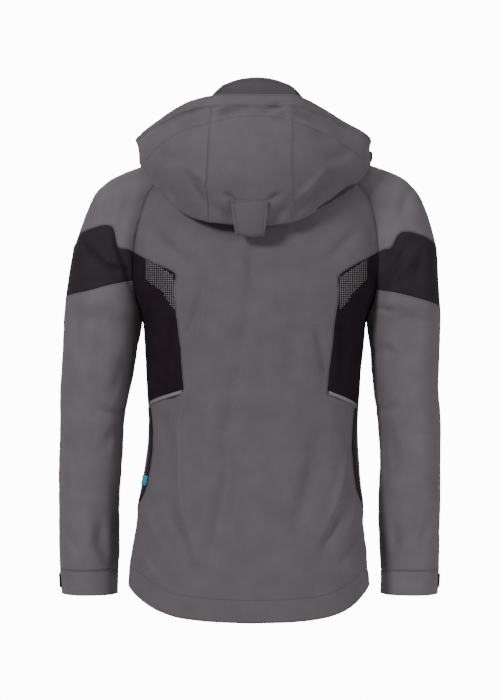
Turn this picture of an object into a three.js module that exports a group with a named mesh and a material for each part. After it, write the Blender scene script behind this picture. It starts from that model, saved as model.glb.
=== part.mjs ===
// A hooded softshell jacket, filled out as if worn, with raglan sleeves. Millimetres, +Z up.
// The front looks along -Y, the wearer's left is +X, and z = 0 is the neck seam at the back.
import * as THREE from 'three';
import { mergeVertices } from 'three/addons/utils/BufferGeometryUtils.js';

// Driving sizes
const WALL = 2;
const SEAM_GAP = 0.3;
const NECK_X = -8;
const RING_POWER = 2.4;
const UNDERARM_Z = -298;
const CUFF_SEAM_Z = -701;
const CUFF_HEM_Z = -740;
const FRONT_EDGE_X = 7;
const NECK_RING_Z = -3;
const SIDES = { left: 1, right: -1 };

// Half widths to each side and depths to the back and front, at each height
const TORSO = table(['z', 'left', 'right', 'back', 'front'], [
  [-790, 197, 191, 120, 117],
  [-701, 194.5, 188.5, 122, 119],
  [-650, 187, 183, 121, 120],
  [-600, 180, 179.5, 118, 120],
  [-550, 171, 175, 114, 119],
  [-510, 165, 172, 111, 118],
  [-470, 163, 171, 110, 118],
  [-420, 165, 174, 112, 119],
  [-370, 168.5, 178, 116, 121],
  [-330, 170.5, 182, 120, 123],
  [-298, 172.5, 185, 123, 124],
  [-267, 187, 203, 124, 124],
  [-240, 195, 210, 124, 123],
  [-215, 197.5, 213, 123, 121],
  [-195, 197, 214, 121, 118],
  [-146, 188, 209, 113, 108],
  [-112, 179, 202, 106, 98],
  [-88, 167, 189, 100, 89],
  [-60, 138, 158, 93, 74],
  [-35, 106, 124, 85, 54],
  [-12, 82, 100, 77, 40],
  [0, 72, 88, 72, 34],
]);

// The hem's height at each angle: 0 at the side, 90 at the back, -90 in front
const HEM = table(['angle', 'left', 'right'], [
  [-90, -738, -738],
  [-50, -735, -735],
  [-20, -727, -727],
  [-6, -721, -721],
  [0, -720.5, -720.5],
  [8, -722.5, -723],
  [12, -726, -727],
  [19, -733.5, -736],
  [25, -743, -746.5],
  [32, -753, -756],
  [38, -759, -761],
  [46, -763.5, -765],
  [60, -767, -768],
  [90, -769.5, -769.5],
]);
const HEM_SIDE_Z = -721;
const HEM_TURN = 2;

// The raglan seams, as the distance from the middle at each height
const RAGLAN_BACK = table(['z', 'left', 'right'], [
  [-298, 172.5, 185],
  [-267, 181, 196],
  [-240, 185, 198],
  [-215, 184.3, 199],
  [-195, 183.3, 200.5],
  [-172, 181, 199],
  [-146, 175.5, 196],
  [-112, 165, 186],
  [-88, 151, 171],
  [-44, 98, 116],
  [-3, 46, 62],
]);
const RAGLAN_FRONT = table(['z', 'left', 'right'], [
  [-298, 172.5, 185],
  [-267, 180, 195],
  [-240, 180, 194],
  [-195, 173, 190],
  [-146, 160, 178],
  [-112, 143, 162],
  [-88, 124, 142],
  [-60, 92, 108],
  [-35, 62, 78],
]);

// The sleeve's rings, by the height of their inner end: the outer line, how far a ring leaves the
// seam straight outward, and how far it swells to the back and front at each end
const SLEEVE = table(
  ['z', 'innerLeft', 'innerRight', 'outerLeft', 'outerRight', 'outerZ', 'middleY', 'out', 'swell', 'round'], [
    [-740, 213, 209.5, 305, 302.5, -740, -26, 0, 188, 188],
    [-701, 212.8, 210.4, 308, 304.6, -701, -25, 0, 196, 196],
    [-662, 210.4, 207.2, 309, 305.6, -662, -23, 0, 206, 206],
    [-586, 210, 205.6, 309, 306.4, -586, -18, 0, 222, 222],
    [-509, 204, 207, 307, 306.4, -509, -12, 0, 236, 236],
    [-445, 199.5, 202, 305.4, 304.4, -445, -8, 0, 250, 250],
    [-406, 190, 196, 304.4, 302, -406, -5, 0, 262, 262],
    [-350, 180.5, 191.5, 301, 304.5, -349, -2, 0, 280, 276],
    [-298, 172.5, 185, 298.5, 306, -301, 0, 0.2, 280, 272],
    [-267, 181, 196, 296, 304.5, -268, -1, 0.7, 215, 235],
    [-240, 185, 198, 291, 301.5, -232, -3, 1.15, 160, 205],
    [-218, 184, 199, 286, 300, -195, -4, 1.35, 125, 180],
    [-195, 183, 200, 273, 291, -155, -4, 1.5, 90, 155],
    [-172, 181, 199, 258, 279, -118, -4, 1.55, 60, 130],
    [-146, 175, 196, 238, 260, -85, -4, 1.6, 35, 110],
    [-120, 168, 189, 205, 228, -67, -3, 1.6, 25, 95],
    [-88, 151, 171, 164, 184, -50, -2, 1.6, 15, 85],
    [-44, 98, 116, 112, 128, -29, 0, 1.6, 5, 85],
    [-3, 46, 62, 68, 84, -12, 2, 1.6, 0, 85],
  ]);

// The edges of the black pieces on the back, as places seen from behind: [across, height]
const INSERT_INNER = {
  left: [[104, -413], [108.5, -349], [115.8, -290], [116.5, -231]],
  right: [[121, -415], [126.7, -349], [133.6, -288], [136.5, -235]],
};
const INSERT_TOP = {
  left: [[116.5, -231], [137, -220], [167, -205], [183.3, -195]],
  right: [[136.5, -235], [151, -223], [172, -210], [200.5, -195]],
};
const INSERT_MIDDLE_Z = { bottom: -414, top: -233 };
const INSERT_BOTTOM_OUTER_Z = { left: -432.5, right: -435 };
const BAND_TOP = {
  left: [[183.3, -195], [207.5, -183.7], [217, -154], [239, -155], [260, -162], [279, -175]],
  right: [[200.5, -195], [222, -185], [235.5, -164], [254, -161], [272, -170], [296, -190]],
};
const BAND_BOTTOM = {
  left: [[185, -240], [227.8, -249], [258.7, -257], [290, -266]],
  right: [[197.5, -254], [226, -259], [257, -267], [303, -284]],
};
const INSERT_FRONT = { inner: 120, bottomZ: -425 };

// The side seam's angle forward or back of the side, at each height
const SIDE_SEAM = table(['z', 'angle'], [
  [-790, -6], [-715, -6], [-650, -4], [-605, 5], [-580, 15], [-560, 18], [-500, 18.5], [-432, 15], [-380, 8],
  [-330, 3], [-298, 0],
]);

// The neck seam in front, from the sleeve's corner to the zip: [across, height]
const NECK_FRONT = {
  left: [[62, -35], [44, -56], [22, -70], [7, -74]],
  right: [[78, -35], [54, -56], [26, -70], [7, -74]],
};
const NECK_BACK_Z = table(['x', 'z'], [[0, 0], [30, -0.5], [62, -3], [80, -6]]);

// The hood hanging at the back, from the middle (0) round to its front end (1): its lowest fold,
// the fullest place outside and the rim. Widths are given to each side.
const HOOD = table(
  ['u', 'neck', 'foldLeft', 'foldRight', 'foldY', 'foldZ', 'fullLeft', 'fullRight', 'fullY', 'fullZ',
    'rimLeft', 'rimRight', 'rimY', 'rimZ'], [
    [0, 0, -3, 3, 140, -161, -4, 4, 172, -66, -6, 6, 136, 42],
    [0.16, 0.17, 61, 62, 132, -154, 64, 63, 163, -60, 58, 66, 128, 42],
    [0.3, 0.3, 99, 94, 116, -140, 107, 105, 140, -50, 104, 100, 102, 32],
    [0.45, 0.44, 131, 133, 92, -114, 147, 147, 106, -42, 144, 144, 64, 12],
    [0.6, 0.56, 151, 163, 68, -90, 169, 178, 70, -42, 170, 178, 34, -3],
    [0.72, 0.66, 158, 176, 36, -64, 177, 188, 30, -36, 184, 193, 6, -15],
    [0.84, 0.76, 135, 150, -32, -50, 158, 172, -34, -28, 162, 175, -34, -8],
    [0.93, 0.83, 92, 105, -68, -58, 112, 124, -80, -30, 110, 122, -80, -14],
    [1, 0.88, 50, 62, -84, -62, 56, 68, -94, -52, 48, 60, -92, -40],
  ]);
const HOOD_COLUMNS = {
  middle: [0, 0.0533, 0.1067, 0.16],
  outer: [0.16, 0.23, 0.3, 0.375, 0.45, 0.525, 0.6, 0.66, 0.72, 0.78, 0.84, 0.9, 0.95, 1],
};
const HOOD_ROWS = [0, 0.1, 0.2, 0.28, 0.34, 0.4, 0.46, 0.53, 0.6, 0.68, 0.76, 0.84, 0.91, 0.9656];
const HOOD_BRIM_ROWS = [0.9664, 1];
const HOOD_FORM = { neckUp: 0.09, neckOut: 1.2, bellyAt: 0.45, belly: 9 };
const HOOD_CLEARANCE = { neck: 1.5, below: 8, grown: 0.1, reach: 60 };

const COLLAR = {
  backHeight: 77,
  frontHeight: 82,
  backLean: 4,
  frontLean: -6,
  turnsFrontAt: { from: -60, to: 80 },
  arch: 0.0036,
  peakX: -12,
};

// How far along a hood column, and how proud of the hood, the strap's rows lie. Its width, as a
// share of the way round the hood, narrows from its sewn end down.
const STRAP = table(['row', 'along', 'proud', 'width'], [
  [0, 0.597, 0, 1],
  [1, 0.575, 1, 1],
  [2, 0.545, 3, 0.98],
  [3, 0.505, 7, 0.93],
  [4, 0.455, 11.5, 0.86],
  [5, 0.41, 13, 0.82],
  [6, 0.37, 10, 0.82],
  [7, 0.34, 4, 0.84],
]);
const STRAP_COLUMNS = [['left', 0.074], ['left', 0.037], ['left', 0], ['right', 0.028], ['right', 0.056]];
const STRAP_LAST_ROW = 7;
const STRAP_LIFT = 0.6;

const TRIM = {
  thickness: 1.2,
  pipingWidth: 5.8,
  welt: { bottom: -588, top: -440, near: 1, far: 6, rows: 10 },
  label: { bottom: -563, top: -547, near: 0.5, far: 9, rows: 1 },
  cuffTab: { top: -709, bottom: -730, behind: [0.9, 1], before: [0.8, 0.6, 0.4] },
  cordLock: { place: [-194, 6, -44], radius: 4.5, length: 9, hollow: 3.3 },
  tapeMiddle: 0.2,
};
const SLIDER = { up: 0.88, span: 0.1, gap: 0.5, width: 10, height: 8, base: 3, ears: 4, ear: 1.8 };
const PULL = { radius: 1.5, length: 24, thickness: 1.4 };

// The place inside the garment that a sleeve's cloth looks away from, above and below the shoulder
const SLEEVE_INSIDE = { shoulderZ: -120, neckZ: -10, neckX: 60, lowZ: -90, below: 10 };

const MITRE_LIMIT = 0.4;
const SAME_WAY = 0.5;
const PLACES_PER_MM = 50;
const SAME_PLACE = 1e-4;

const COLOURS = {
  grey: 0x645f63,
  black: 0x2a2429,
  piping: 0x8a8489,
  label: 0x2aa5d6,
  zip: 0x1c1a1c,
};

// A table with named columns, read at any place by a smooth curve through its rows
function table(names, rows) {
  const ordered = [...rows].sort((a, b) => a[0] - b[0]);
  const keys = ordered.map((row) => row[0]);
  return (name, at) => {
    const column = names.indexOf(name);
    const values = ordered.map((row) => row[column]);
    const last = keys.length - 1;
    const x = Math.min(Math.max(at, keys[0]), keys[last]);
    let k = keys.findIndex((key) => key >= x);
    k = Math.max(k, 1);
    const step = keys[k] - keys[k - 1];
    const u = (x - keys[k - 1]) / step;
    const rise = (a, b) => (values[b] - values[a]) / (keys[b] - keys[a]);
    const slope = (i) => rise(Math.max(i - 1, 0), Math.min(i + 1, last));
    return hermite(values[k - 1], values[k], slope(k - 1) * step, slope(k) * step, u);
  };
}

function hermite(a, b, slopeA, slopeB, u) {
  const u2 = u * u;
  const u3 = u2 * u;
  return a * (2 * u3 - 3 * u2 + 1) + slopeA * (u3 - 2 * u2 + u) + b * (3 * u2 - 2 * u3) + slopeB * (u3 - u2);
}

const mix = (a, b, u) => a + (b - a) * u;
const steps = (count) => Array.from({ length: count + 1 }, (_, i) => i / count);
const vec = (x, y, z) => new THREE.Vector3(x, y, z);
const nameOf = (side) => (side === 'left' ? 'Left' : 'Right');

// Places in a straight line from one place to another
const between = (from, to, count) => steps(count).map((u) => from.map((value, c) => mix(value, to[c], u)));

// A polyline read by its share of length
function along(points, share) {
  const lengths = points.slice(1).map((p, i) => Math.hypot(...p.map((value, c) => value - points[i][c])));
  let left = lengths.reduce((a, b) => a + b, 0) * share;
  for (let i = 0; i < lengths.length; i += 1) {
    if (left <= lengths[i] || i === lengths.length - 1) {
      const u = lengths[i] ? Math.min(left / lengths[i], 1) : 0;
      return points[i].map((value, c) => mix(value, points[i + 1][c], u));
    }
    left -= lengths[i];
  }
  return points[0];
}

// The torso at a height and at an angle: 0 at the side, 90 at the back, -90 in front
function torsoPoint(side, z, angle) {
  const turn = THREE.MathUtils.degToRad(angle);
  const width = TORSO(side, z);
  const depth = TORSO(angle >= 0 ? 'back' : 'front', z);
  const across = Math.abs(Math.cos(turn));
  const deep = Math.abs(Math.sin(turn));
  const sum = (across / width) ** RING_POWER + (deep / depth) ** RING_POWER;
  const reach = sum ** (-1 / RING_POWER);
  return vec(SIDES[side] * reach * across, Math.sign(turn) * reach * deep, z);
}

// The torso's angle at a distance from the middle
function torsoAngle(side, z, x, face) {
  let low = 0;
  let high = 90;
  for (let i = 0; i < 40; i += 1) {
    const middle = (low + high) / 2;
    if (Math.abs(torsoPoint(side, z, face * middle).x) > x) low = middle;
    else high = middle;
  }
  return face * low;
}

const onTorso = (side, face) => ([x, z]) => [torsoAngle(side, z, x, face), z];

// The sleeve at a ring and at a share of the way from the seam to the outer line
function sleevePoint(side, face, share, z) {
  const sign = SIDES[side];
  const name = nameOf(side);
  const middleY = SLEEVE('middleY', z);
  const outer = vec(sign * SLEEVE(`outer${name}`, z), middleY, SLEEVE('outerZ', z));
  const below = vec(sign * SLEEVE(`inner${name}`, z), middleY, z);
  const start = z >= UNDERARM_Z ? raglanPoint(side, face, z) : below;
  const out = SLEEVE('out', z);
  const swell = SLEEVE('swell', z);
  const round = SLEEVE('round', z);
  const slopeA = [out * (outer.x - start.x), face * swell, out * (outer.z - start.z)];
  const slopeB = [0, -face * round, 0];
  const a = start.toArray();
  const b = outer.toArray();
  return vec(...a.map((value, c) => hermite(value, b[c], slopeA[c], slopeB[c], share)));
}

// The front raglan seam starts lower at the neck than the back one
const frontRaglanZ = (side, z) => (
  mix(UNDERARM_Z, NECK_FRONT[side][0][1], (z - UNDERARM_Z) / (NECK_RING_Z - UNDERARM_Z))
);

// The raglan seam behind (face 1) or in front (face -1)
function raglanPoint(side, face, z) {
  if (face > 0) return torsoPoint(side, z, torsoAngle(side, z, RAGLAN_BACK(side, z), 1));
  const frontZ = frontRaglanZ(side, z);
  return torsoPoint(side, frontZ, torsoAngle(side, frontZ, RAGLAN_FRONT(side, frontZ), -1));
}

// A search over a sleeve, first coarse, then finer round the best place
const SEARCH = {
  topZ: -100,
  shareSteps: 20,
  heightSteps: 40,
  fineSteps: 8,
  reaches: [0.05, 0.015, 0.004],
  heightPerShare: 150,
};

// The place on the back of a sleeve that is seen from behind at [across, height]
function onSleeve(side) {
  return ([x, z]) => {
    let best = [0, 0, Infinity];
    const look = (shares, heights) => shares.forEach((share) => heights.forEach((height) => {
      const p = sleevePoint(side, 1, share, height);
      const miss = Math.hypot(Math.abs(p.x) - x, p.z - z);
      if (miss < best[2]) best = [share, height, miss];
    }));
    const { topZ, shareSteps, heightSteps, fineSteps, reaches, heightPerShare } = SEARCH;
    look(steps(shareSteps), steps(heightSteps).map((u) => mix(topZ, UNDERARM_Z, u)));
    reaches.forEach((reach) => {
      const [share, height] = best;
      const offsets = steps(fineSteps).map((u) => reach * (2 * u - 1));
      const shares = offsets.map((offset) => THREE.MathUtils.clamp(share + offset, 0, 1));
      look(shares, offsets.map((offset) => height + heightPerShare * offset));
    });
    return best;
  };
}

// A patch filled in between four edges of [a, b] places; opposite edges have as many places
function fillPatch(bottom, top, left, right) {
  const rows = left.length - 1;
  const columns = bottom.length - 1;
  return left.map((_, j) => bottom.map((__, i) => {
    const u = i / columns;
    const v = j / rows;
    return [0, 1].map((c) => (
      mix(bottom[i][c], top[i][c], v) + mix(left[j][c], right[j][c], u)
      - mix(mix(bottom[0][c], bottom[columns][c], u), mix(top[0][c], top[columns][c], u), v)
    ));
  }));
}

// Points of every panel by place, so that panels that meet share their direction there
const seamNormals = new Map();
const placeKey = (p) => p.toArray().map((value) => Math.round(value * PLACES_PER_MM)).join();

// A piece of cloth: quads over shared points, with a point inside the garment for each
class Panel {
  constructor(name, colour) {
    this.name = name;
    this.colour = colour;
    this.points = [];
    this.insides = [];
    this.quads = [];
    this.places = new Map();
  }

  add(point, inside) {
    const key = placeKey(point);
    if (!this.places.has(key)) {
      this.places.set(key, this.points.length);
      this.points.push(point);
      this.insides.push(inside);
    }
    return this.places.get(key);
  }

  grid(rows, insideOf) {
    const ids = rows.map((row, j) => row.map((p, i) => this.add(p, insideOf(p, i, j))));
    const quads = [];
    for (let j = 0; j + 1 < ids.length; j += 1) {
      for (let i = 0; i + 1 < ids[j].length; i += 1) {
        const quad = [ids[j][i], ids[j][i + 1], ids[j + 1][i + 1], ids[j + 1][i]];
        const corners = [...new Set(quad)];
        if (corners.length > 2) quads.push(corners);
      }
    }
    const facing = quads.reduce((sum, quad) => sum + this.outwardness(quad), 0);
    quads.forEach((quad) => this.quads.push(facing > 0 ? quad : quad.reverse()));
    return this;
  }

  // How much a face looks away from the inside of the garment
  outwardness(quad) {
    const p = quad.map((id) => this.points[id]);
    const normal = p[1].clone().sub(p[0]).cross(p[2].clone().sub(p[0]));
    return normal.dot(p[0].clone().sub(this.insides[quad[0]]).normalize());
  }

  findNormals() {
    this.normals = this.points.map(() => vec(0, 0, 0));
    this.quads.forEach((quad) => {
      const p = quad.map((id) => this.points[id]);
      const normal = p[1].clone().sub(p[0]).cross(p[2].clone().sub(p[0]));
      if (quad.length === 4) normal.add(p[2].clone().sub(p[0]).cross(p[3].clone().sub(p[0])));
      quad.forEach((id) => this.normals[id].add(normal));
    });
    this.normals.forEach((normal) => normal.normalize());
    this.points.forEach((point, id) => {
      const key = placeKey(point);
      if (!seamNormals.has(key)) seamNormals.set(key, []);
      seamNormals.get(key).push(this.normals[id]);
    });
    return this;
  }

  sharedNormal(id) {
    const own = this.normals[id];
    const here = seamNormals.get(placeKey(this.points[id])) || [];
    const near = here.filter((other) => other.dot(own) > SAME_WAY);
    return near.reduce((sum, other) => sum.add(other), vec(0, 0, 0)).normalize();
  }

  // Places on the panel with the way out there: every point and every face's middle
  samples() {
    const middles = this.quads.map((quad) => {
      const sum = (list) => quad.reduce((total, id) => total.add(list[id]), vec(0, 0, 0));
      return [sum(this.points).divideScalar(quad.length), sum(this.normals).normalize()];
    });
    return [...this.points.map((point, id) => [point, this.normals[id]]), ...middles];
  }

  // The wall: outside on the panel's points moved out by lift, inside a wall's thickness below
  mesh(thickness = WALL, lift = 0) {
    const normals = this.points.map((_, id) => this.sharedNormal(id));
    const edges = new Map();
    this.quads.forEach((quad) => quad.forEach((id, i) => {
      const next = quad[(i + 1) % quad.length];
      if (edges.has(`${next},${id}`)) edges.delete(`${next},${id}`);
      else edges.set(`${id},${next}`, [id, next]);
    }));
    const inset = this.points.map(() => []);
    edges.forEach(([from, to]) => {
      const run = this.points[to].clone().sub(this.points[from]).normalize();
      [from, to].forEach((id) => inset[id].push(normals[id].clone().cross(run).normalize()));
    });
    const outer = this.points.map((point, id) => {
      const moved = point.clone().addScaledVector(normals[id], lift);
      if (!inset[id].length) return moved;
      const way = inset[id].reduce((sum, v) => sum.add(v), vec(0, 0, 0)).normalize();
      const cosine = Math.max(way.dot(inset[id][0]), MITRE_LIMIT);
      return moved.addScaledVector(way, SEAM_GAP / 2 / cosine);
    });
    const inner = outer.map((point, id) => point.clone().addScaledVector(normals[id], -thickness));
    return this.close(outer, inner, [...edges.values()]);
  }

  close(outer, inner, edges) {
    const count = outer.length;
    const faces = [];
    this.quads.forEach((quad) => {
      const [a, b, c, d] = quad;
      if (quad.length === 3) {
        faces.push([a, b, c], [c + count, b + count, a + count]);
        return;
      }
      const short = outer[a].distanceTo(outer[c]) <= outer[b].distanceTo(outer[d]);
      const halves = short ? [[a, b, c], [a, c, d]] : [[a, b, d], [b, c, d]];
      halves.forEach(([p, q, r]) => faces.push([p, q, r], [r + count, q + count, p + count]));
    });
    edges.forEach(([from, to]) => faces.push([to, from, from + count], [to, from + count, to + count]));
    const geometry = new THREE.BufferGeometry();
    const places = [...outer, ...inner].flatMap((p) => p.toArray());
    geometry.setAttribute('position', new THREE.Float32BufferAttribute(places, 3));
    geometry.setIndex(faces.flat());
    return named(this.name, geometry, this.colour);
  }
}

function named(name, geometry, colour) {
  const metal = colour === 'zip';
  const material = new THREE.MeshStandardMaterial({
    color: COLOURS[colour],
    roughness: metal ? 0.45 : 0.85,
    metalness: metal ? 0.3 : 0,
  });
  const mesh = new THREE.Mesh(geometry, material);
  mesh.name = name;
  return mesh;
}

const insideTorso = (p) => vec(0, 0, p.z);

// Rows of one side's torso, from [angle, height] places
const torsoRows = (side, rows) => rows.map((row) => row.map(([angle, z]) => torsoPoint(side, z, angle)));

const hemLine = (side, from, to, count) => (
  between([from], [to], count).map(([angle]) => [angle, HEM(side, angle)])
);

// How many quads lie along each shared seam
const COUNT = {
  middle: 5,
  outerBack: 4,
  belowInsert: 9,
  insert: 6,
  insertInner: 12,
  aboveInsert: 8,
  bandRows: 3,
  underBand: 3,
  frontMiddle: 5,
  frontOuter: 4,
  belowFront: 9,
  sleeveRows: 9,
  sleeveFront: 5,
  cuff: 2,
  collar: 4,
};

// Heights of the raglan seam's shared places, from the underarm up
const RAGLAN_Z = { insertTop: -195, bandBottom: { left: -240, right: -254 } };
function raglanHeights(side) {
  const band = RAGLAN_Z.bandBottom[side];
  const low = steps(COUNT.underBand).map((u) => mix(UNDERARM_Z, band, u));
  const middle = steps(COUNT.bandRows).slice(1).map((u) => mix(band, RAGLAN_Z.insertTop, u));
  const high = steps(COUNT.aboveInsert).slice(1).map((u) => mix(RAGLAN_Z.insertTop, NECK_RING_Z, u));
  return { low: [...low, ...middle], high: [RAGLAN_Z.insertTop, ...high] };
}

// Shared seams on one side of the back, as [angle, height] places
function backSeams(side) {
  const place = onTorso(side, 1);
  const inner = INSERT_INNER[side].map(place);
  const insertInner = steps(COUNT.insertInner).map((u) => along(inner, u));
  const outerZ = INSERT_BOTTOM_OUTER_Z[side];
  const sideSeamPlace = (z) => [SIDE_SEAM('angle', z), z];
  const bottomOuter = sideSeamPlace(outerZ);
  const insertBottom = between(inner[0], bottomOuter, COUNT.outerBack);
  const topLine = INSERT_TOP[side].map(place);
  const insertTop = steps(COUNT.outerBack).map((u) => along(topLine, u));
  const sideHemZ = HEM(side, SIDE_SEAM('angle', HEM_SIDE_Z));
  const sideBelow = steps(COUNT.belowInsert).map((u) => sideSeamPlace(mix(sideHemZ, outerZ, u)));
  const sideAbove = steps(COUNT.insert).map((u) => sideSeamPlace(mix(outerZ, UNDERARM_Z, u)));
  const { low, high } = raglanHeights(side);
  const raglan = (z) => [torsoAngle(side, z, RAGLAN_BACK(side, z), 1), z];
  return { inner, insertInner, insertBottom, insertTop, sideBelow, sideAbove,
    raglanLow: low.map(raglan), raglanHigh: high.map(raglan) };
}

const SEAMS = { left: backSeams('left'), right: backSeams('right') };

// The neck seam on one side of the back
function backNeck(side) {
  const end = RAGLAN_BACK(side, NECK_RING_Z);
  return steps(COUNT.middle + COUNT.outerBack).map((u) => {
    const z = NECK_BACK_Z('z', end * u);
    return [torsoAngle(side, z, end * u, 1), z];
  });
}

function backPanel() {
  const panel = new Panel('back_panel', 'grey');
  Object.keys(SIDES).forEach((side) => {
    const seams = SEAMS[side];
    const turn = seams.inner[0][0] - HEM_TURN;
    const hemMiddle = hemLine(side, 90, turn, COUNT.middle);
    const hemOuter = hemLine(side, turn, seams.sideBelow[0][0], COUNT.outerBack);
    const lowTop = between([90, INSERT_MIDDLE_Z.bottom], seams.inner[0], COUNT.middle);
    const centre = (from, to, count) => between([90, from], [90, to], count);
    const fold = between(hemOuter[0], seams.inner[0], COUNT.belowInsert);
    const add = (...edges) => panel.grid(torsoRows(side, fillPatch(...edges)), insideTorso);
    add(hemMiddle, lowTop, centre(hemMiddle[0][1], lowTop[0][1], COUNT.belowInsert), fold);
    add(hemOuter, seams.insertBottom, fold, seams.sideBelow);
    const insertCorner = seams.insertInner[COUNT.insertInner];
    const midTop = between([90, INSERT_MIDDLE_Z.top], insertCorner, COUNT.middle);
    add(lowTop, midTop, centre(lowTop[0][1], midTop[0][1], COUNT.insertInner), seams.insertInner);
    const neck = backNeck(side);
    neck[neck.length - 1] = seams.raglanHigh[COUNT.aboveInsert];
    const neckMiddle = neck.slice(0, COUNT.middle + 1);
    const neckOuter = neck.slice(COUNT.middle);
    const riser = between(midTop[COUNT.middle], neckOuter[0], COUNT.aboveInsert);
    add(midTop, neckMiddle, centre(midTop[0][1], neckMiddle[0][1], COUNT.aboveInsert), riser);
    add(seams.insertTop, neckOuter, riser, seams.raglanHigh);
  });
  return panel;
}

// The black insert below the arm, from its inner edge to the side seam and the raglan seam
function sideInsert(side) {
  const seams = SEAMS[side];
  const outer = [...seams.sideAbove, ...seams.raglanLow.slice(1)];
  const panel = new Panel(`side_upper_${side}`, 'black');
  const grid = fillPatch(seams.insertBottom, seams.insertTop, seams.insertInner, outer);
  return panel.grid(torsoRows(side, grid), insideTorso);
}

// Shared seams on one side of the front
function frontSeams(side) {
  const place = onTorso(side, -1);
  const { low, high } = raglanHeights(side);
  const heights = [...low, ...high.slice(1)].map((z) => frontRaglanZ(side, z));
  const raglan = heights.map((z) => [torsoAngle(side, z, RAGLAN_FRONT(side, z), -1), z]);
  const innerBottom = place([INSERT_FRONT.inner, INSERT_FRONT.bottomZ]);
  const shelf = between(innerBottom, SEAMS[side].sideAbove[0], COUNT.frontOuter);
  const insertInner = between(innerBottom, raglan[COUNT.frontOuter], COUNT.insert);
  return { raglan, shelf, insertInner };
}

// The black insert in front of the side seam: its top edge is the lowest part of the raglan seam
function frontInsert(side) {
  const front = frontSeams(side);
  const top = front.raglan.slice(0, COUNT.frontOuter + 1).reverse();
  const grid = fillPatch(front.shelf, top, front.insertInner, SEAMS[side].sideAbove);
  return new Panel(`front_insert_${side}`, 'black').grid(torsoRows(side, grid), insideTorso);
}

function frontPanel(side) {
  const back = SEAMS[side];
  const front = frontSeams(side);
  const panel = new Panel(`front_${side}`, 'grey');
  const edge = (z) => [torsoAngle(side, z, FRONT_EDGE_X, -1), z];
  const corner = front.shelf[0];
  const hemMiddle = hemLine(side, edge(HEM(side, -90))[0], corner[0], COUNT.frontMiddle);
  const hemOuter = hemLine(side, corner[0], back.sideBelow[0][0], COUNT.frontOuter);
  const level = between(edge(INSERT_FRONT.bottomZ), corner, COUNT.frontMiddle);
  const zipEdge = (from, to, count) => steps(count).map((u) => edge(mix(from, to, u)));
  const fold = between(hemOuter[0], corner, COUNT.belowFront);
  const add = (...edges) => panel.grid(torsoRows(side, fillPatch(...edges)), insideTorso);
  add(hemMiddle, level, zipEdge(hemMiddle[0][1], INSERT_FRONT.bottomZ, COUNT.belowFront), fold);
  add(hemOuter, front.shelf, fold, back.sideBelow);
  const outer = [...front.insertInner, ...front.raglan.slice(COUNT.frontOuter + 1)];
  const neck = steps(COUNT.frontMiddle).map((u) => {
    const [x, z] = along([...NECK_FRONT[side]].reverse(), u);
    return [torsoAngle(side, z, x, -1), z];
  });
  neck[COUNT.frontMiddle] = front.raglan[front.raglan.length - 1];
  add(level, neck, zipEdge(INSERT_FRONT.bottomZ, neck[0][1], outer.length - 1), outer);
  return panel;
}

const SLEEVE_OUTER_COLUMNS = [0.55, 0.78, 1];

// The key lines across a sleeve's back half, as [share, ring] places, and its shared columns
function sleeveSeams(side) {
  const find = onSleeve(side);
  const top = BAND_TOP[side].map(find);
  const bottom = BAND_BOTTOM[side].map(find);
  top[0] = [0, RAGLAN_Z.insertTop];
  bottom[0] = [0, RAGLAN_Z.bandBottom[side]];
  top[top.length - 1][0] = 1;
  bottom[bottom.length - 1][0] = 1;
  const readAt = (line) => (share) => {
    const k = Math.max(line.findIndex((p) => p[0] >= share), 1);
    const [a, b] = [line[k - 1], line[k]];
    return mix(a[1], b[1], (share - a[0]) / (b[0] - a[0]));
  };
  const columns = [0, top[1][0] / 2, top[1][0], top[2][0], ...SLEEVE_OUTER_COLUMNS];
  return { columns, top: readAt(top), bottom: readAt(bottom) };
}

// Heights of one column of a sleeve's rows, from the neck down to the cuff seam
function sleeveHeights(side, topZ, bottomZ) {
  const parts = [
    [NECK_RING_Z, topZ, COUNT.aboveInsert],
    [topZ, bottomZ, COUNT.bandRows],
    [bottomZ, UNDERARM_Z + Math.min(bottomZ - RAGLAN_Z.bandBottom[side], 0), COUNT.underBand],
  ];
  const heights = parts.map(([from, to, count]) => steps(count).map((u) => mix(from, to, u)));
  const lowStart = heights[2][COUNT.underBand];
  heights.push(steps(COUNT.sleeveRows).map((u) => mix(lowStart, CUFF_SEAM_Z, u)));
  return heights;
}

const insideSleeve = (side) => (p) => {
  const { shoulderZ, neckZ, neckX, lowZ, below } = SLEEVE_INSIDE;
  const z = Math.min(p.z, shoulderZ);
  const x = (SLEEVE(`inner${nameOf(side)}`, z) + SLEEVE(`outer${nameOf(side)}`, z)) / 2;
  const share = THREE.MathUtils.clamp((p.z - shoulderZ) / (neckZ - shoulderZ), 0, 1);
  return vec(SIDES[side] * mix(x, neckX, share), SLEEVE('middleY', z), Math.min(p.z, lowZ) - below);
};

function sleeveBack(side) {
  const seams = sleeveSeams(side);
  const columns = seams.columns.map((share) => (
    sleeveHeights(side, seams.top(share), seams.bottom(share))
      .map((part) => part.map((z) => sleevePoint(side, 1, share, z)))
  ));
  const part = (name, colour, from, to) => {
    const panel = new Panel(`${name}_${side}`, colour);
    for (let k = from; k <= to; k += 1) {
      const rows = columns[0][k].map((_, j) => columns.map((column) => column[k][j]));
      panel.grid(rows, insideSleeve(side));
    }
    return panel;
  };
  return [
    part('sleeve_back_top', 'grey', 0, 0),
    part('sleeve_band', 'black', 1, 1),
    part('sleeve_back_lower', 'grey', 2, 3),
  ];
}

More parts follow.
